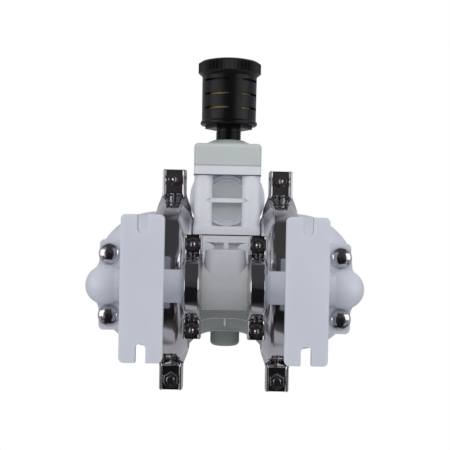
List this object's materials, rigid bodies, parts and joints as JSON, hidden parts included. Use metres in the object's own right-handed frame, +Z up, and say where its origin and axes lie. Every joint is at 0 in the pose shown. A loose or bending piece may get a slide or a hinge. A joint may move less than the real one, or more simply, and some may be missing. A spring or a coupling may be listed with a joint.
{
  "type": "air operated diaphragm pump",
  "caption": "Small air operated double diaphragm pump: clamped plastic liquid chambers either side of an air section, ball check manifolds on feet, and an air valve with a muffler.",
  "frame": {"origin": "on the mounting plane under the feet, directly below the crossing of the shaft axis and the manifold axes", "axes": "+X along the pump shaft to the right-hand chamber, +Y towards the air inlet, -Y towards the muffler, +Z up from the feet to the discharge manifold"},
  "size_m": [0.1746, 0.2312, 0.1875],
  "materials": {
    "center_plastic": "moulded natural polypropylene, satin",
    "valve_plastic": "moulded natural polypropylene, satin",
    "plate_plastic": "moulded plastic, faintly green grey, satin",
    "wetted_plastic": "translucent natural polypropylene, satin",
    "manifold_plastic": "translucent natural polypropylene, satin",
    "polished_steel": "mechanically polished stainless steel",
    "fastener_steel": "plain bright stainless steel",
    "muffler_plastic": "black moulded plastic, satin",
    "porous_element": "porous sintered, dull",
    "gasket_rubber": "matt black rubber",
    "diaphragm_rubber": "pale moulded elastomer",
    "piston_plastic": "natural polypropylene",
    "piston_alloy": "die cast, plain",
    "seat_plastic": "natural polypropylene",
    "ball_white": "smooth white fluoropolymer",
    "pilot_acetal": "black acetal, smooth"
  },
  "bodies": {
    "housing": {"air_valve_body": "valve_plastic", "center_section": "center_plastic", "diaphragm_left": "diaphragm_rubber", "diaphragm_right": "diaphragm_rubber", "discharge_clamp_left_lower": "polished_steel", "discharge_clamp_left_upper": "polished_steel", "discharge_clamp_right_lower": "polished_steel", "discharge_clamp_right_upper": "polished_steel", "discharge_elbow_left": "manifold_plastic", "discharge_elbow_right": "manifold_plastic", "discharge_seat_left": "seat_plastic", "discharge_seat_right": "seat_plastic", "discharge_tee": "manifold_plastic", "elbow_bolts": "fastener_steel", "elbow_nuts": "fastener_steel", "end_cap_lower": "valve_plastic", "end_cap_upper": "valve_plastic", "inlet_clamp_left_lower": "polished_steel", "inlet_clamp_left_upper": "polished_steel", "inlet_clamp_right_lower": "polished_steel", "inlet_clamp_right_upper": "polished_steel", "inlet_elbow_left": "manifold_plastic", "inlet_elbow_right": "manifold_plastic", "inlet_seat_left": "seat_plastic", "inlet_seat_right": "seat_plastic", "inlet_tee": "manifold_plastic", "large_clamp_left_lower": "polished_steel", "large_clamp_left_upper": "polished_steel", "large_clamp_nuts": "fastener_steel", "large_clamp_right_lower": "polished_steel", "large_clamp_right_upper": "polished_steel", "large_clamp_screws": "fastener_steel", "liquid_chamber_left": "wetted_plastic", "liquid_chamber_right": "wetted_plastic", "muffler_body": "muffler_plastic", "muffler_cap": "muffler_plastic", "muffler_element": "porous_element", "muffler_gasket": "gasket_rubber", "muffler_plate": "plate_plastic", "pilot_sleeve": "pilot_acetal", "seat_o_rings": "gasket_rubber", "shaft_seals": "gasket_rubber", "small_clamp_nuts": "fastener_steel", "small_clamp_screws": "fastener_steel", "tee_o_rings": "gasket_rubber", "valve_gasket": "gasket_rubber", "valve_screws": "fastener_steel"},
    "shaft": {"main_shaft": "fastener_steel", "inner_piston_left": "piston_alloy", "inner_piston_right": "piston_alloy", "outer_piston_left": "piston_plastic", "outer_piston_right": "piston_plastic"},
    "pilot": {"pilot_spool": "pilot_acetal"},
    "air_spool": {"air_valve_spool": "pilot_acetal"},
    "inlet_ball_left": {"inlet_ball_left": "ball_white"},
    "inlet_ball_right": {"inlet_ball_right": "ball_white"},
    "discharge_ball_left": {"discharge_ball_left": "ball_white"},
    "discharge_ball_right": {"discharge_ball_right": "ball_white"}
  },
  "joints": [
    {"name": "shaft_stroke", "type": "slide", "parent": "housing", "child": "shaft", "axis": [1, 0, 0], "range_m": [-0.006, 0.006], "deforming": ["diaphragm_left", "diaphragm_right"]},
    {"name": "pilot_shift", "type": "slide", "parent": "housing", "child": "pilot", "axis": [1, 0, 0], "range_m": [-0.003, 0.003]},
    {"name": "air_spool_shift", "type": "slide", "parent": "housing", "child": "air_spool", "axis": [0, 0, 1], "range_m": [-0.0045, 0.0045]},
    {"name": "inlet_lift_left", "type": "slide", "parent": "housing", "child": "inlet_ball_left", "axis": [0, 0, 1], "range_m": [0, 0.004]},
    {"name": "inlet_lift_right", "type": "slide", "parent": "housing", "child": "inlet_ball_right", "axis": [0, 0, 1], "range_m": [0, 0.004]},
    {"name": "discharge_lift_left", "type": "slide", "parent": "housing", "child": "discharge_ball_left", "axis": [0, 0, 1], "range_m": [0, 0.004]},
    {"name": "discharge_lift_right", "type": "slide", "parent": "housing", "child": "discharge_ball_right", "axis": [0, 0, 1], "range_m": [0, 0.004]}
  ],
  "couplings": [
    {"joint": "pilot_shift", "follows": "shaft_stroke", "ratio": 0.5}
  ]
}
